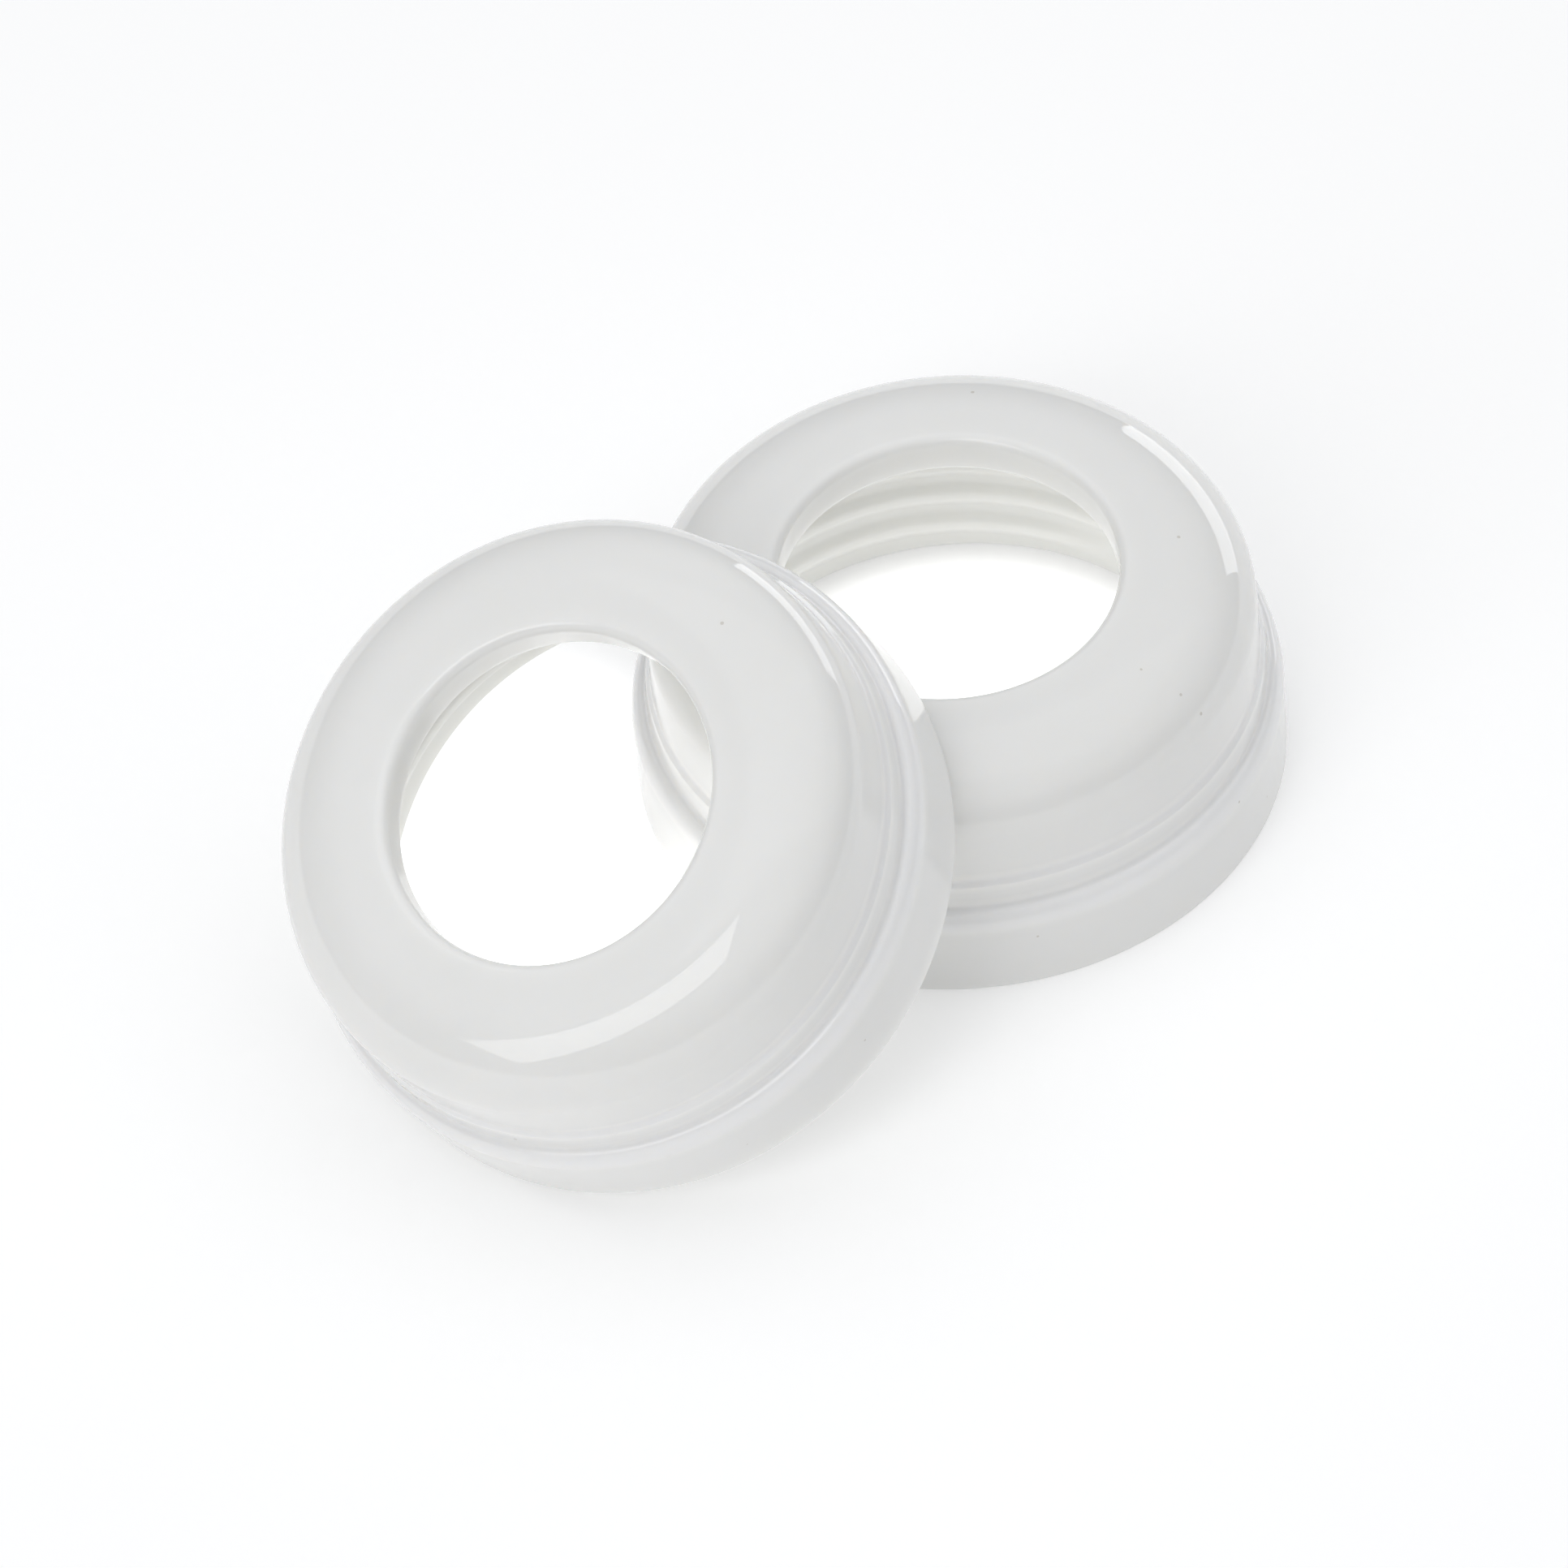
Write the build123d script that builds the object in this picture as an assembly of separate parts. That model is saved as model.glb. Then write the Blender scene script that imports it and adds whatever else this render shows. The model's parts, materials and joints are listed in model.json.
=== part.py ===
from build123d import *
import math
import os

# A pair of identical screw collars for narrow-neck feeding bottles, as they are put down:
# one stands flat on its rim, the other leans on it with its rim hooked over the first one's shoulder.
# Millimetres, +Z up, origin on the table at the centre of the flat collar's rim.

# outside of one collar
overall_height = 18.8
skirt_radius = 23.0
skirt_height = 7.4
skirt_round_width = 1.0
skirt_round_height = 1.5
rim_round = 0.3
groove_radius = 21.75
groove_height = 0.1
bead_radius_low = 22.0
bead_radius_high = 21.8
bead_height = 2.1
bead_round = 0.15
wall_radius_low = 21.5
wall_radius_high = 21.45
shoulder_width = 7.0
shoulder_height = 5.0

# inside of one collar
teat_hole_radius = 12.0
hole_edge_round = 0.8
lip_thickness = 3.0
lip_edge_round = 0.25
cavity_radius = 19.0
cavity_corner_round = 1.2
entry_chamfer = 0.3

# internal screw thread, right-handed, trapezoidal
thread_pitch = 3.0
thread_turns = 2.25
thread_start = 2.3
thread_start_angle = 50.0
thread_crest_radius = 18.1
thread_root_width = 1.9
thread_crest_width = 0.8
thread_bite = 0.3
thread_overshoot = 0.1

# how the second collar leans on the first
lean_angle = 28.4
lean_heading = -130.5
lean_distance = 29.9
lean_bearing = -136.0

# points that several features share
cavity_height = overall_height - lip_thickness
bead_bottom = skirt_height + groove_height
bead_top = bead_bottom + bead_height
shoulder_start = overall_height - shoulder_height


def quarter_arc(start, centre, end):
    """A quarter circle in the section plane, from start to end about centre."""
    radius = math.dist(start, centre)
    bulge_x = start[0] + end[0] - 2 * centre[0]
    bulge_y = start[1] + end[1] - 2 * centre[1]
    scale = radius / math.hypot(bulge_x, bulge_y)
    middle = (centre[0] + bulge_x * scale, centre[1] + bulge_y * scale)
    return ThreePointArc(start, middle, end)


def turned_over(start, end):
    """The quarter ellipse that turns an upright wall over into a level top."""
    return EllipticalCenterArc((end[0], start[1]), start[0] - end[0], end[1] - start[1], arc_size=90)


def collar_section():
    """Half section of one collar: X is the radius and Y the height above the rim."""
    rim_inner = (cavity_radius + entry_chamfer, 0)
    rim_outer = (skirt_radius - rim_round, 0)
    skirt_low = (skirt_radius, rim_round)
    skirt_high = (skirt_radius, skirt_height - skirt_round_height)
    skirt_top = (skirt_radius - skirt_round_width, skirt_height)
    groove_low = (groove_radius, skirt_height)
    groove_high = (groove_radius, bead_bottom)
    bead_low = (bead_radius_low, bead_bottom)
    bead_high = (bead_radius_high, bead_top - bead_round)
    bead_end = (bead_radius_high - bead_round, bead_top)
    wall_low = (wall_radius_low, bead_top)
    wall_high = (wall_radius_high, shoulder_start)
    shoulder_end = (wall_radius_high - shoulder_width, overall_height)
    top_inner = (teat_hole_radius + hole_edge_round, overall_height)
    hole_high = (teat_hole_radius, overall_height - hole_edge_round)
    hole_low = (teat_hole_radius, cavity_height + lip_edge_round)
    seat_inner = (teat_hole_radius + lip_edge_round, cavity_height)
    seat_outer = (cavity_radius - cavity_corner_round, cavity_height)
    cavity_high = (cavity_radius, cavity_height - cavity_corner_round)
    cavity_low = (cavity_radius, entry_chamfer)
    outline = [
        Line(rim_inner, rim_outer),
        quarter_arc(rim_outer, (rim_outer[0], rim_round), skirt_low),
        Line(skirt_low, skirt_high),
        turned_over(skirt_high, skirt_top),
        Line(skirt_top, groove_low),
        Line(groove_low, groove_high),
        Line(groove_high, bead_low),
        Line(bead_low, bead_high),
        quarter_arc(bead_high, (bead_end[0], bead_high[1]), bead_end),
        Line(bead_end, wall_low),
        Line(wall_low, wall_high),
        turned_over(wall_high, shoulder_end),
        Line(shoulder_end, top_inner),
        quarter_arc(top_inner, (top_inner[0], hole_high[1]), hole_high),
        Line(hole_high, hole_low),
        quarter_arc(hole_low, (seat_inner[0], hole_low[1]), seat_inner),
        Line(seat_inner, seat_outer),
        quarter_arc(seat_outer, (seat_outer[0], cavity_high[1]), cavity_high),
        Line(cavity_high, cavity_low),
        Line(cavity_low, rim_inner),
    ]
    return make_face(outline)


def thread_ridge():
    """The helical ridge inside the collar, reaching a little into the wall that carries it."""
    rise = thread_pitch * thread_turns
    helix = Helix(thread_pitch, rise, cavity_radius)
    inward = thread_crest_radius - thread_overshoot - cavity_radius
    root = thread_root_width / 2
    crest = thread_crest_width / 2
    profile = Polyline(
        (thread_bite, -root), (0, -root), (inward, -crest), (inward, crest), (0, root), (thread_bite, root),
        close=True,
    )
    start = Plane(origin=helix @ 0, x_dir=(1, 0, 0), z_dir=helix % 0)
    ridge = sweep(start * make_face(profile), path=helix, is_frenet=True)
    crest_cut = Pos(0, 0, rise / 2) * Cylinder(thread_crest_radius, rise + 2 * thread_pitch)
    return Pos(0, 0, thread_start) * Rot(0, 0, thread_start_angle) * (ridge - crest_cut)


def collar():
    """One whole collar, rim down, with its centre line on Z."""
    body = revolve(Plane.XZ * collar_section(), axis=Axis.Z)
    return body + thread_ridge()


def lean_plane():
    """Where the leaning collar's rim lies: its lowest edge just touches the table."""
    tilt = math.radians(lean_angle)
    heading = math.radians(lean_heading)
    bearing = math.radians(lean_bearing)
    low_edge = (skirt_radius - rim_round) * math.sin(tilt)
    rim_height = low_edge + rim_round - rim_round * math.cos(tilt)
    centre = (lean_distance * math.cos(bearing), lean_distance * math.sin(bearing), rim_height)
    axis = (math.sin(tilt) * math.cos(heading), math.sin(tilt) * math.sin(heading), math.cos(tilt))
    across = (-math.sin(heading), math.cos(heading), 0)
    return Plane(origin=centre, x_dir=across, z_dir=axis)


def export_named(name, shape):
    """Write one node's solid under its own name."""
    shape.label = name
    export_step(shape, f"parts/{name}.step")


def main():
    os.makedirs("parts", exist_ok=True)
    flat = collar()
    leaning = lean_plane() * collar()
    export_named("flat_collar", flat)
    export_named("leaning_collar", leaning)


main()
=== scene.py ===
import json
import math

import bpy
import numpy as np
from mathutils import Matrix, Vector


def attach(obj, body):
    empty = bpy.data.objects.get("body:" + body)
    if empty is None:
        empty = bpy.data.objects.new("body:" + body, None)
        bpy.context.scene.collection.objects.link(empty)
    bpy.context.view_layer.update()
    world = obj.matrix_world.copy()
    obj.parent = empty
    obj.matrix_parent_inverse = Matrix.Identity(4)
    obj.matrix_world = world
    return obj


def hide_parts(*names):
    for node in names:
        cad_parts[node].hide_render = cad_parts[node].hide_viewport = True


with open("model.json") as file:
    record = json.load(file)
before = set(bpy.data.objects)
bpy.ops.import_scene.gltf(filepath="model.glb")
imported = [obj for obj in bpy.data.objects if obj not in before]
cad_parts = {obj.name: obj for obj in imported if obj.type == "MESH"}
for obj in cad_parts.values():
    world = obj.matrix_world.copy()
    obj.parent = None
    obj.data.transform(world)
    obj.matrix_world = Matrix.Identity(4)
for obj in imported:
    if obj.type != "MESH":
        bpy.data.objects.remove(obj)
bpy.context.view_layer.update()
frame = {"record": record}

# Two identical moulded screw collars. Each is one clean revolved mesh with its helical thread
# and small edge rounds, in place of the plainer CAD solid. Profile sizes are in millimetres.
MM = 0.001

# outside of one collar
OVERALL_HEIGHT = 18.8
SKIRT_RADIUS = 23.0
SKIRT_HEIGHT = 7.4
SKIRT_ROUND_WIDTH = 1.0
SKIRT_ROUND_HEIGHT = 1.65
SKIRT_ROUND_END = math.radians(68)
SKIRT_ROUND_STEPS = 14
RIM_ROUND = 0.3
BEAD_TOP = 9.6
BEAD_RADIUS_LOW = 21.95
BEAD_RADIUS_HIGH = 21.8
BEAD_SLOPE = 0.2
BEAD_ROUND = 0.22
WALL_RADIUS_LOW = 21.5
WALL_RADIUS_HIGH = 21.45
SHOULDER_WIDTH = 7.0
SHOULDER_HEIGHT = 5.0
SHOULDER_STEPS = 40
GROOVE_FILLET = 0.5
STEP_FILLET = 0.7

# inside of one collar
HOLE_RADIUS = 12.0
HOLE_EDGE_ROUND = 0.8
CAVITY_HEIGHT = 15.8
LIP_EDGE_ROUND = 0.25
CAVITY_RADIUS = 19.0
CAVITY_CORNER_ROUND = 1.2
ENTRY_CHAMFER = 0.3
ENTRY_ROUND = 0.12

# internal thread, right-handed
THREAD_PITCH = 3.0
THREAD_TURNS = 2.25
THREAD_START = 2.3
THREAD_START_ANGLE = math.radians(50)
THREAD_DEPTH = 0.45
THREAD_ROOT_HALF_WIDTH = 1.3
THREAD_CREST_HALF_WIDTH = 0.15
THREAD_RUN_OUT_TURNS = 0.07

# vertex layers the plastic reads
HIGHLIGHT_LAYER = "painted_highlight_edge"
INSIDE_LAYER = "inside"

# painted highlight bands at the skirt edge and the bead's top, which also lighten the shade in the
# groove and step corners: heights of start, full, fade and end
PAINTED_HIGHLIGHT_BANDS = (
    (SKIRT_HEIGHT - 1.9, SKIRT_HEIGHT - 1.1, SKIRT_HEIGHT + 0.3, SKIRT_HEIGHT + 0.8),
    (BEAD_TOP - 0.5, BEAD_TOP - 0.1, BEAD_TOP + 0.3, BEAD_TOP + 0.8),
)

# mesh fineness
SEGMENTS = 288
ARC_STEP = math.radians(9)
PLAIN_SPACING = 0.6
THREAD_SPACING = 0.13
WALL_TOLERANCE = 0.01

# plastic: colours, and gloss as roughness
PLASTIC_DARKER = (0.866, 0.866, 0.852, 1)
PLASTIC_LIGHTER = (0.880, 0.880, 0.868, 1)
# painted highlight colour for the bands at the skirt edge and the bead's top
PAINTED_HIGHLIGHT = (0.952, 0.947, 0.918, 1)
# painted warm shade for the inside of the cavity
PAINTED_INSIDE_SHADE = (0.865, 0.865, 0.840, 1)
SPECK = (0.70, 0.68, 0.64, 1)
SPECK_CELLS_PER_METRE = 260.0
SPECK_RADIUS_IN_CELLS = 0.036
SPECK_SHARE_OF_CELLS = 0.7
ROUGHNESS_LOW = 0.015
ROUGHNESS_HIGH = 0.04
INSIDE_ROUGHENING = 0.33

# the colour sockets of a Mix node, which has sockets of the same name for every kind of data
MIX_FIRST = 6
MIX_SECOND = 7
MIX_RESULT = 2

# studio: lengths in metres, sky directions as (azimuth from +Y towards +X, elevation) in degrees
TABLE_HALF_WIDTH = 3.0
TABLE_GLOW = 0.23
# each extra glow on the table: centre, radius, share of the radius at full strength, strength
RING_GLOWS = (
    ((0, 0, 0), 0.0190, 0.85, 0.40),
    ((-0.024, -0.023, 0), 0.0165, 0.5, 0.80),
    ((-0.031, -0.004, 0), 0.0170, 0.6, 0.28),
)
SKY_LOW = 0.06
SKY_HIGH = 0.8
# each light: name, directions of its two ends, width, distance, radiance, tint
SOFTBOXES = (
    ("overhead_box", (-90, 60), (80, 50), 0.7, 0.9, 0.36, (1, 1, 1)),
    ("strip_box", (-130, 18), (-171, 55), 0.255, 0.8, 2.35, (1, 1, 1)),
    ("side_box", (75, 28), (125, 28), 0.45, 1.0, 0.12, (1, 1, 1)),
    ("low_panel", (15, 7), (48, 7), 0.30, 1.0, 2.7, (0.97, 0.98, 1.0)),
)
AIM = Vector((-0.0120, -0.0119, 0.010))
CAMERA_AZIMUTH = -3.92
CAMERA_ELEVATION = 48.2
CAMERA_ROLL = 5.25
CAMERA_DISTANCE = 1.3605
CAMERA_LENS = 447.2

def mount(name):
    """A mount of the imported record, by name."""
    return next(m for m in frame["record"]["mounts"] if m["name"] == name)


def rounded_corner(before, corner, after, radius):
    """Points of the arc that rounds a corner between two straight runs."""
    to_before = (before - corner) / np.linalg.norm(before - corner)
    to_after = (after - corner) / np.linalg.norm(after - corner)
    between = math.acos(np.clip(to_before @ to_after, -1, 1))
    reach = radius / math.tan(between / 2)
    middle = to_before + to_after
    centre = corner + middle / np.linalg.norm(middle) * radius / math.sin(between / 2)
    first = corner + to_before * reach - centre
    last = corner + to_after * reach - centre
    sweep = math.pi - between
    steps = max(2, math.ceil(sweep / ARC_STEP))
    shares = np.linspace(0, 1, steps + 1)
    return [
        centre + (math.sin((1 - s) * sweep) * first + math.sin(s * sweep) * last) / math.sin(sweep)
        for s in shares
    ]


def ellipse_arc(radius, top, width, height, end, steps):
    """An elliptical turn from a wall up and inwards towards a level top, as corners with no rounding."""
    angles = np.linspace(0, end, steps + 1)
    return [
        (radius - width + width * math.cos(a), top - height + height * math.sin(a), 0) for a in angles
    ]


def profile_corners():
    """The half section as corners (radius, height, rounding), from the rim outwards and over."""
    return [
        (CAVITY_RADIUS + ENTRY_CHAMFER, 0, ENTRY_ROUND),
        (SKIRT_RADIUS, 0, RIM_ROUND),
        *ellipse_arc(
            SKIRT_RADIUS, SKIRT_HEIGHT, SKIRT_ROUND_WIDTH, SKIRT_ROUND_HEIGHT,
            SKIRT_ROUND_END, SKIRT_ROUND_STEPS,
        ),
        (BEAD_RADIUS_LOW, SKIRT_HEIGHT, GROOVE_FILLET),
        (BEAD_RADIUS_HIGH, BEAD_TOP - BEAD_SLOPE, BEAD_ROUND),
        (WALL_RADIUS_LOW, BEAD_TOP + BEAD_SLOPE, STEP_FILLET),
        *ellipse_arc(
            WALL_RADIUS_HIGH, OVERALL_HEIGHT, SHOULDER_WIDTH, SHOULDER_HEIGHT,
            math.pi / 2, SHOULDER_STEPS,
        ),
        (HOLE_RADIUS, OVERALL_HEIGHT, HOLE_EDGE_ROUND),
        (HOLE_RADIUS, CAVITY_HEIGHT, LIP_EDGE_ROUND),
        (CAVITY_RADIUS, CAVITY_HEIGHT, CAVITY_CORNER_ROUND),
        (CAVITY_RADIUS, ENTRY_CHAMFER, ENTRY_ROUND),
    ]


def profile_path():
    """The closed half section as an array of (radius, height), finely divided."""
    corners = profile_corners()
    points = []
    for i, (radius, height, rounding) in enumerate(corners):
        here = np.array([radius, height], float)
        if rounding == 0:
            points.append(here)
            continue
        before = np.array(corners[i - 1][:2], float)
        after = np.array(corners[(i + 1) % len(corners)][:2], float)
        points += rounded_corner(before, here, after, rounding)
    fine = []
    for start, end in zip(points, points[1:] + points[:1]):
        off_wall = max(abs(start[0] - CAVITY_RADIUS), abs(end[0] - CAVITY_RADIUS))
        on_thread = off_wall < WALL_TOLERANCE
        spacing = THREAD_SPACING if on_thread else PLAIN_SPACING
        parts = max(1, math.ceil(np.linalg.norm(end - start) / spacing))
        fine += [start + (end - start) * k / parts for k in range(parts)]
    return np.array(fine)


def smooth_step(low, high, value):
    """0 below low, 1 above high and a smooth rise between."""
    t = np.clip((value - low) / (high - low), 0, 1)
    return t * t * (3 - 2 * t)


def thread_height(angle, height):
    """How far the thread stands out of the cavity wall at an angle and height."""
    turn_here = (angle - THREAD_START_ANGLE) / (2 * math.pi)
    ridge = np.zeros(np.broadcast(angle, height).shape)
    for turn in range(-1, math.ceil(THREAD_TURNS) + 1):
        along = turn_here + turn
        centre = THREAD_START + THREAD_PITCH * along
        flank = smooth_step(-THREAD_ROOT_HALF_WIDTH, -THREAD_CREST_HALF_WIDTH, -np.abs(height - centre))
        run_in = smooth_step(0, THREAD_RUN_OUT_TURNS, along)
        run_out = smooth_step(0, THREAD_RUN_OUT_TURNS, THREAD_TURNS - along)
        ridge = np.maximum(ridge, flank * run_in * run_out)
    return ridge * THREAD_DEPTH


def highlight_share(height):
    """1 on the painted highlight bands, falling to 0 beside them."""
    return sum(
        smooth_step(start, full, height) * (1 - smooth_step(fade, end, height))
        for start, full, fade, end in PAINTED_HIGHLIGHT_BANDS
    )


def paint(mesh, name, values):
    """Stores one number per vertex for the material to read."""
    layer = mesh.attributes.new(name, "FLOAT", "POINT")
    layer.data.foreach_set("value", values.ravel().tolist())


def collar_mesh(name):
    """One collar as a closed quad mesh, rim down on the origin, in metres."""
    path = profile_path()
    angles = np.arange(SEGMENTS) * 2 * math.pi / SEGMENTS
    radius = np.repeat(path[None, :, 0], SEGMENTS, axis=0)
    height = np.repeat(path[None, :, 1], SEGMENTS, axis=0)
    on_wall = np.abs(radius - CAVITY_RADIUS) < WALL_TOLERANCE
    radius = radius - np.where(on_wall, thread_height(angles[:, None], height), 0)
    x = radius * np.cos(angles)[:, None]
    y = radius * np.sin(angles)[:, None]
    vertices = np.stack([x, y, height], axis=-1).reshape(-1, 3) * MM
    count = len(path)
    ring = np.arange(SEGMENTS)[:, None] * count
    next_ring = (np.arange(SEGMENTS)[:, None] + 1) % SEGMENTS * count
    step = np.arange(count)[None, :]
    next_step = (step + 1) % count
    faces = np.stack([ring + step, next_ring + step, next_ring + next_step, ring + next_step], axis=-1)
    mesh = bpy.data.meshes.new(name)
    mesh.from_pydata(vertices.tolist(), [], faces.reshape(-1, 4).tolist())
    mesh.polygons.foreach_set("use_smooth", [True] * len(mesh.polygons))
    mesh.update()
    within_wall = radius < CAVITY_RADIUS + WALL_TOLERANCE
    # the inside mask carries a painted warm shade in the cavity and a rougher finish there
    paint(mesh, INSIDE_LAYER, np.where(within_wall & (height < CAVITY_HEIGHT), 1.0, 0.0))
    # painted highlight bands, on the outside only
    paint(mesh, HIGHLIGHT_LAYER, np.where(within_wall, 0.0, highlight_share(height)))
    return mesh


def leaning_placement():
    """Where the leaning collar's own frame lies, from the record's mounts."""
    axis = Vector(mount("leaning_teat_hole")["axis"]).normalized()
    hole_height = mount("flat_teat_hole")["pos_m"][2]
    origin = Vector(mount("leaning_teat_hole")["pos_m"]) - axis * hole_height
    across = Vector((0, 0, 1)).cross(axis).normalized()
    along = axis.cross(across)
    placement = Matrix((across, along, axis)).transposed().to_4x4()
    placement.translation = origin
    return placement


def node(tree, kind, **settings):
    """A new shader node with its inputs and properties set by name."""
    made = tree.nodes.new(kind)
    for key, value in settings.items():
        name = key.replace("_", " ").title().replace("Ior", "IOR")
        if name in made.inputs:
            made.inputs[name].default_value = value
        else:
            setattr(made, key, value)
    return made


def blended_colour(tree, share, first, second):
    """A colour that goes from a linked first to a fixed second as the share goes from 0 to 1."""
    mix = node(tree, "ShaderNodeMix", data_type="RGBA")
    tree.links.new(share, mix.inputs["Factor"])
    tree.links.new(first, mix.inputs[MIX_FIRST])
    mix.inputs[MIX_SECOND].default_value = second
    return mix.outputs[MIX_RESULT]


def collar_plastic(name, seed):
    """Glossy white polypropylene, slightly warm and translucent."""
    material = bpy.data.materials.new(name)
    material.use_nodes = True
    tree = material.node_tree
    shader = tree.nodes["Principled BSDF"]
    link = tree.links.new
    place = node(tree, "ShaderNodeTexCoord")
    shift = node(tree, "ShaderNodeMapping")
    shift.inputs["Location"].default_value = (seed, seed * 0.7, seed * 1.3)
    link(place.outputs["Object"], shift.inputs["Vector"])

    clouds = node(tree, "ShaderNodeTexNoise", scale=90.0, detail=4.0)
    link(shift.outputs["Vector"], clouds.inputs["Vector"])
    tone = node(tree, "ShaderNodeValToRGB")
    tone.color_ramp.elements[0].position = 0.35
    tone.color_ramp.elements[0].color = PLASTIC_DARKER
    tone.color_ramp.elements[1].position = 0.65
    tone.color_ramp.elements[1].color = PLASTIC_LIGHTER
    link(clouds.outputs["Fac"], tone.inputs["Fac"])

    # painted highlight on the skirt edge and bead top bands, also lightening the shade in the groove and
    # step corners
    edge = node(tree, "ShaderNodeAttribute", attribute_name=HIGHLIGHT_LAYER)
    highlighted = blended_colour(tree, edge.outputs["Fac"], tone.outputs["Color"], PAINTED_HIGHLIGHT)
    # painted warm shade over the inside of the cavity
    inside = node(tree, "ShaderNodeAttribute", attribute_name=INSIDE_LAYER)
    shaded_inside = blended_colour(tree, inside.outputs["Fac"], highlighted, PAINTED_INSIDE_SHADE)

    cells = node(tree, "ShaderNodeTexVoronoi", scale=SPECK_CELLS_PER_METRE)
    link(shift.outputs["Vector"], cells.inputs["Vector"])
    spot = node(tree, "ShaderNodeMath", operation="LESS_THAN")
    link(cells.outputs["Distance"], spot.inputs[0])
    spot.inputs[1].default_value = SPECK_RADIUS_IN_CELLS
    chosen = node(tree, "ShaderNodeSeparateColor")
    link(cells.outputs["Color"], chosen.inputs["Color"])
    rare = node(tree, "ShaderNodeMath", operation="LESS_THAN")
    link(chosen.outputs["Red"], rare.inputs[0])
    rare.inputs[1].default_value = SPECK_SHARE_OF_CELLS
    speck = node(tree, "ShaderNodeMath", operation="MULTIPLY")
    link(spot.outputs["Value"], speck.inputs[0])
    link(rare.outputs["Value"], speck.inputs[1])
    link(blended_colour(tree, speck.outputs["Value"], shaded_inside, SPECK), shader.inputs["Base Color"])

    haze = node(tree, "ShaderNodeTexNoise", scale=350.0, detail=5.0)
    link(shift.outputs["Vector"], haze.inputs["Vector"])
    gloss = node(tree, "ShaderNodeMapRange")
    gloss.inputs["To Min"].default_value = ROUGHNESS_LOW
    gloss.inputs["To Max"].default_value = ROUGHNESS_HIGH
    link(haze.outputs["Fac"], gloss.inputs["Value"])
    dulled = node(tree, "ShaderNodeMath", operation="MULTIPLY_ADD")
    link(inside.outputs["Fac"], dulled.inputs[0])
    dulled.inputs[1].default_value = INSIDE_ROUGHENING
    link(gloss.outputs["Result"], dulled.inputs[2])
    link(dulled.outputs["Value"], shader.inputs["Roughness"])

    waves = node(tree, "ShaderNodeTexNoise", scale=120.0, detail=1.0)
    link(shift.outputs["Vector"], waves.inputs["Vector"])
    slow = node(tree, "ShaderNodeBump", strength=0.06, distance=0.0004)
    link(waves.outputs["Fac"], slow.inputs["Height"])
    grain = node(tree, "ShaderNodeTexNoise", scale=2600.0, detail=3.0)
    link(shift.outputs["Vector"], grain.inputs["Vector"])
    fine = node(tree, "ShaderNodeBump", strength=0.02, distance=0.00003)
    link(grain.outputs["Fac"], fine.inputs["Height"])
    link(slow.outputs["Normal"], fine.inputs["Normal"])
    link(fine.outputs["Normal"], shader.inputs["Normal"])

    shader.inputs["IOR"].default_value = 1.49
    shader.inputs["Subsurface Weight"].default_value = 1.0
    shader.inputs["Subsurface Radius"].default_value = (1.0, 0.97, 0.92)
    shader.inputs["Subsurface Scale"].default_value = 0.0011
    return material


def make_collar(name, node_name, body, slot_name, placement, seed):
    """Puts one finished collar in place of its CAD node."""
    mesh = collar_mesh(name)
    mesh.transform(placement)
    mesh.materials.append(collar_plastic(slot_name, seed))
    piece = bpy.data.objects.new(name, mesh)
    bpy.context.scene.collection.objects.link(piece)
    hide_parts(node_name)
    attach(piece, body)
    return piece


def table_glow(tree):
    """How strongly the table glows: evenly, and more inside the two rings."""
    place = node(tree, "ShaderNodeTexCoord")
    total = node(tree, "ShaderNodeValue")
    total.outputs[0].default_value = TABLE_GLOW
    sum_so_far = total.outputs[0]
    for centre, radius, core, strength in RING_GLOWS:
        away = node(tree, "ShaderNodeVectorMath", operation="DISTANCE")
        away.inputs[1].default_value = centre
        tree.links.new(place.outputs["Object"], away.inputs[0])
        patch = node(tree, "ShaderNodeMapRange", interpolation_type="SMOOTHSTEP")
        patch.inputs["From Min"].default_value = radius
        patch.inputs["From Max"].default_value = radius * core
        patch.inputs["To Min"].default_value = 0.0
        patch.inputs["To Max"].default_value = strength
        tree.links.new(away.outputs["Value"], patch.inputs["Value"])
        add = node(tree, "ShaderNodeMath", operation="ADD")
        tree.links.new(sum_so_far, add.inputs[0])
        tree.links.new(patch.outputs["Result"], add.inputs[1])
        sum_so_far = add.outputs[0]
    return sum_so_far


def pale_floor():
    """A wide matt white table, lit a little from below like a light table."""
    material = bpy.data.materials.new("table_white")
    material.use_nodes = True
    tree = material.node_tree
    shader = tree.nodes["Principled BSDF"]
    clouds = node(tree, "ShaderNodeTexNoise", scale=6.0, detail=3.0)
    tone = node(tree, "ShaderNodeValToRGB")
    tone.color_ramp.elements[0].color = (0.86, 0.86, 0.86, 1)
    tone.color_ramp.elements[1].color = (0.90, 0.90, 0.90, 1)
    tree.links.new(clouds.outputs["Fac"], tone.inputs["Fac"])
    tree.links.new(tone.outputs["Color"], shader.inputs["Base Color"])
    shader.inputs["Roughness"].default_value = 0.9
    shader.inputs["Specular IOR Level"].default_value = 0.0
    shader.inputs["Emission Color"].default_value = (1, 1, 1, 1)
    tree.links.new(table_glow(tree), shader.inputs["Emission Strength"])
    mesh = bpy.data.meshes.new("table")
    half = TABLE_HALF_WIDTH
    corners = [(-half, -half, 0), (half, -half, 0), (half, half, 0), (-half, half, 0)]
    mesh.from_pydata(corners, [], [(0, 1, 2, 3)])
    mesh.materials.append(material)
    table = bpy.data.objects.new("table", mesh)
    bpy.context.scene.collection.objects.link(table)


def direction(azimuth, elevation):
    """A unit vector: azimuth in degrees from +Y towards +X, elevation in degrees above the table."""
    a, e = math.radians(azimuth), math.radians(elevation)
    return Vector((math.sin(a) * math.cos(e), math.cos(a) * math.cos(e), math.sin(e)))


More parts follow.
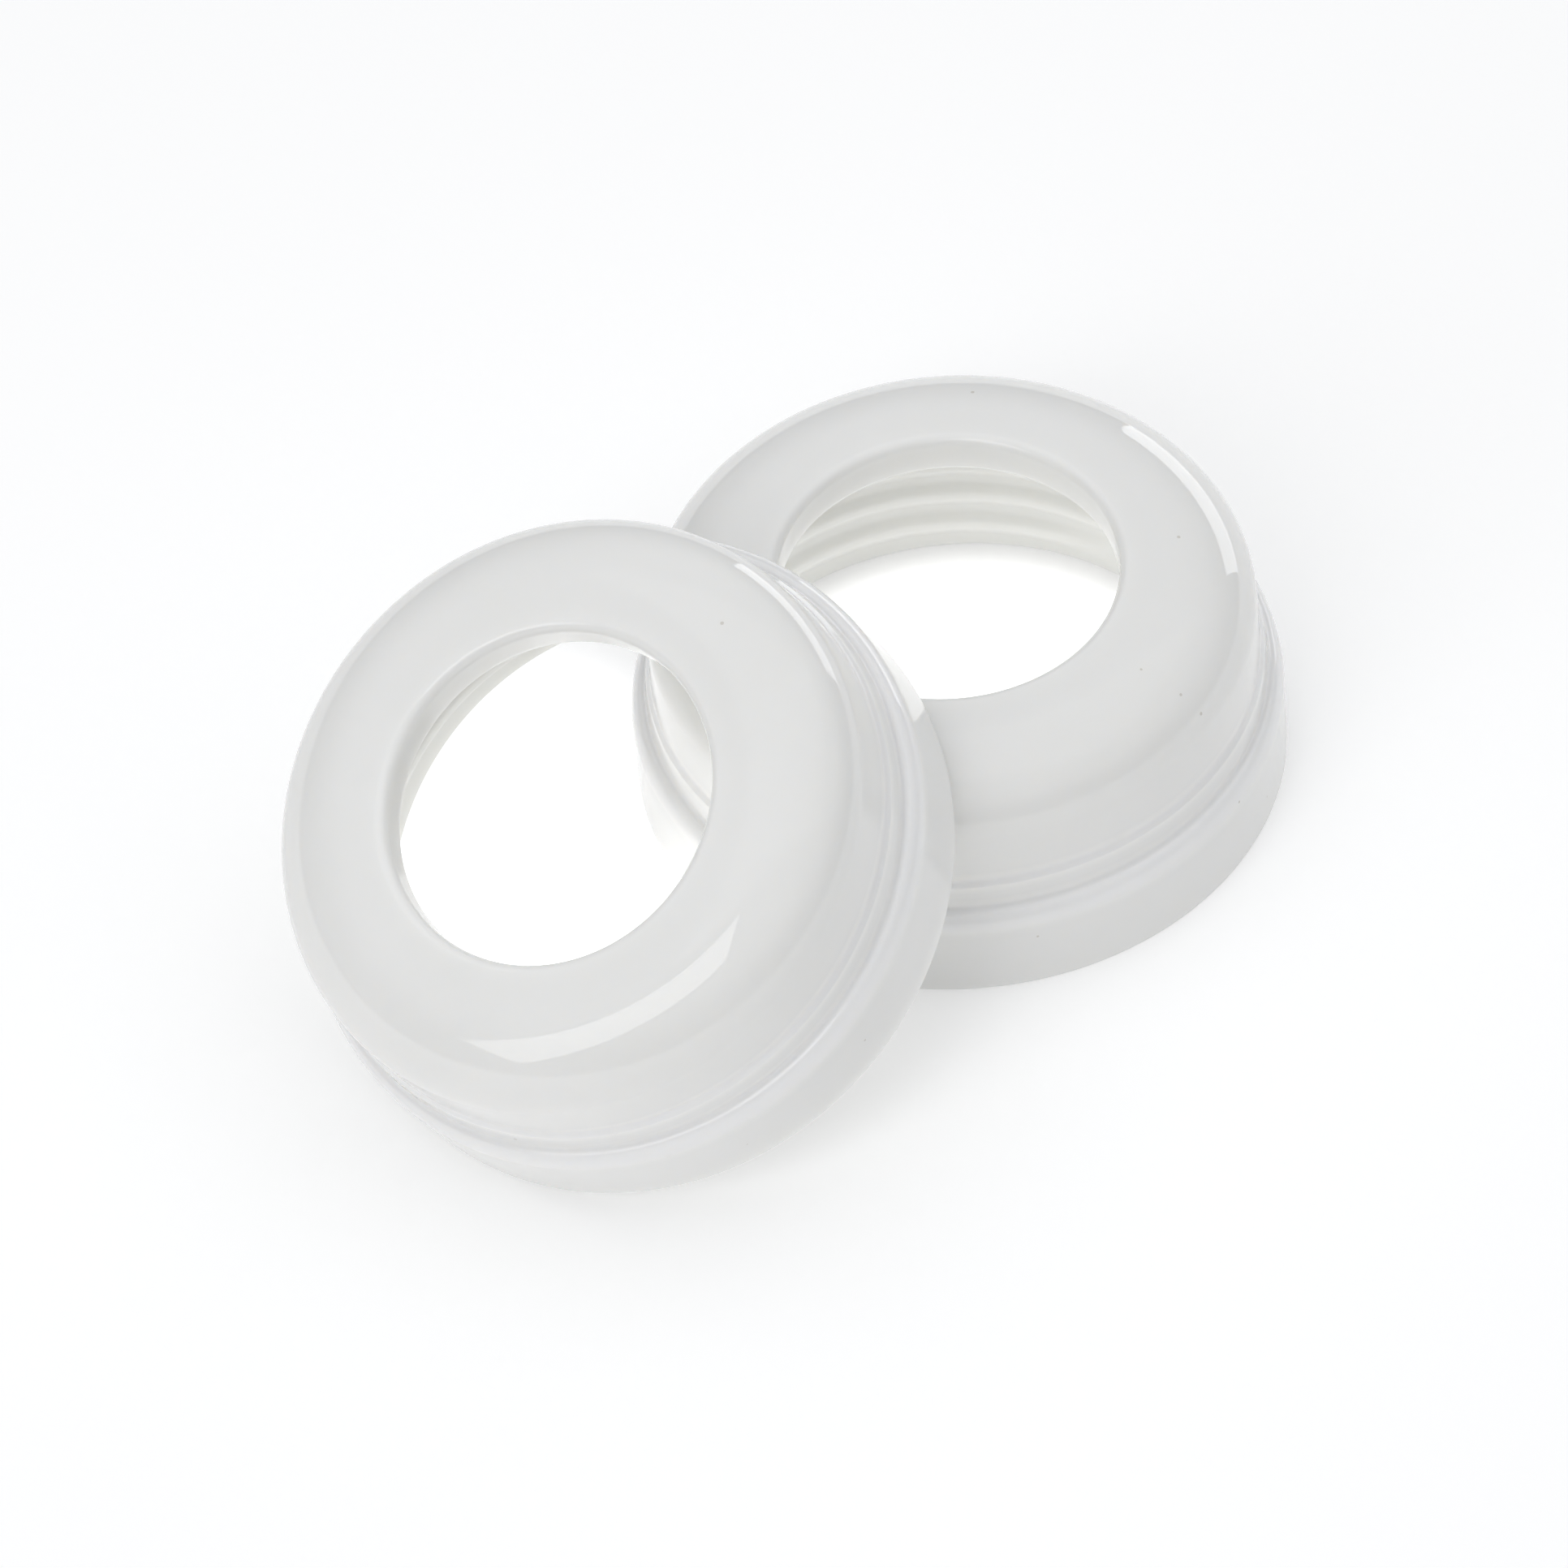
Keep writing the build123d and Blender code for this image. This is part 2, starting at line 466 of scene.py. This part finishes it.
def softbox(name, start, end, width, distance, radiance, tint):
    """A rectangular light facing the aim point; its long side runs from one sky direction to another."""
    first, last = direction(*start) * distance, direction(*end) * distance
    centre = (first + last) / 2
    centre = centre.normalized() * distance * math.cos(first.angle(last) / 2)
    long_side = (last - first).normalized()
    facing = centre.normalized()
    short_side = facing.cross(long_side).normalized()
    data = bpy.data.lights.new(name, "AREA")
    data.shape = "RECTANGLE"
    data.size = (last - first).length
    data.size_y = width
    data.energy = radiance * data.size * data.size_y * math.pi
    data.color = tint
    lamp = bpy.data.objects.new(name, data)
    turn = Matrix((long_side, short_side, facing)).transposed().to_4x4()
    turn.translation = AIM + centre
    lamp.matrix_world = turn
    bpy.context.scene.collection.objects.link(lamp)


def sky_gradient(world, low, high):
    """A sky that changes smoothly from one strength at the horizon to another overhead."""
    tree = world.node_tree
    link = tree.links.new
    place = node(tree, "ShaderNodeTexCoord")
    split = node(tree, "ShaderNodeSeparateXYZ")
    link(place.outputs["Generated"], split.inputs["Vector"])
    rise = node(tree, "ShaderNodeMapRange", interpolation_type="SMOOTHSTEP")
    rise.inputs["From Min"].default_value = 0.25
    rise.inputs["From Max"].default_value = 0.75
    rise.inputs["To Min"].default_value = low
    rise.inputs["To Max"].default_value = high
    link(split.outputs["Z"], rise.inputs["Value"])
    sky = tree.nodes["Background"]
    sky.inputs["Color"].default_value = (0.975, 0.985, 1.0, 1)
    link(rise.outputs["Result"], sky.inputs["Strength"])


def studio():
    """Plain soft light: a pale sky, an overhead box, a strip, a side box and a low panel."""
    world = bpy.data.worlds.new("surround")
    bpy.context.scene.world = world
    world.use_nodes = True
    sky_gradient(world, SKY_LOW, SKY_HIGH)
    for box in SOFTBOXES:
        softbox(*box)


def camera():
    """A long lens looking down on the pair."""
    data = bpy.data.cameras.new("camera")
    data.lens = CAMERA_LENS
    data.sensor_width = 36
    data.clip_start = 0.01
    data.clip_end = 20
    looker = bpy.data.objects.new("camera", data)
    azimuth, elevation = math.radians(CAMERA_AZIMUTH), math.radians(CAMERA_ELEVATION)
    forward = Vector((
        math.sin(azimuth) * math.cos(elevation),
        math.cos(azimuth) * math.cos(elevation),
        -math.sin(elevation),
    ))
    roll = Matrix.Rotation(-math.radians(CAMERA_ROLL), 3, "Z")
    turn = forward.to_track_quat("-Z", "Y").to_matrix() @ roll
    looker.matrix_world = Matrix.Translation(AIM - forward * CAMERA_DISTANCE) @ turn.to_4x4()
    bpy.context.scene.collection.objects.link(looker)
    bpy.context.scene.camera = looker


camera()
studio()
pale_floor()
make_collar(
    "flat_collar_moulding", "flat_collar", "flat_collar", "flat_collar_plastic",
    Matrix.Identity(4), 0.0,
)
make_collar(
    "leaning_collar_moulding", "leaning_collar", "leaning_collar", "leaning_collar_plastic",
    leaning_placement(), 0.37,
)
bpy.context.scene.view_settings.view_transform = "Standard"
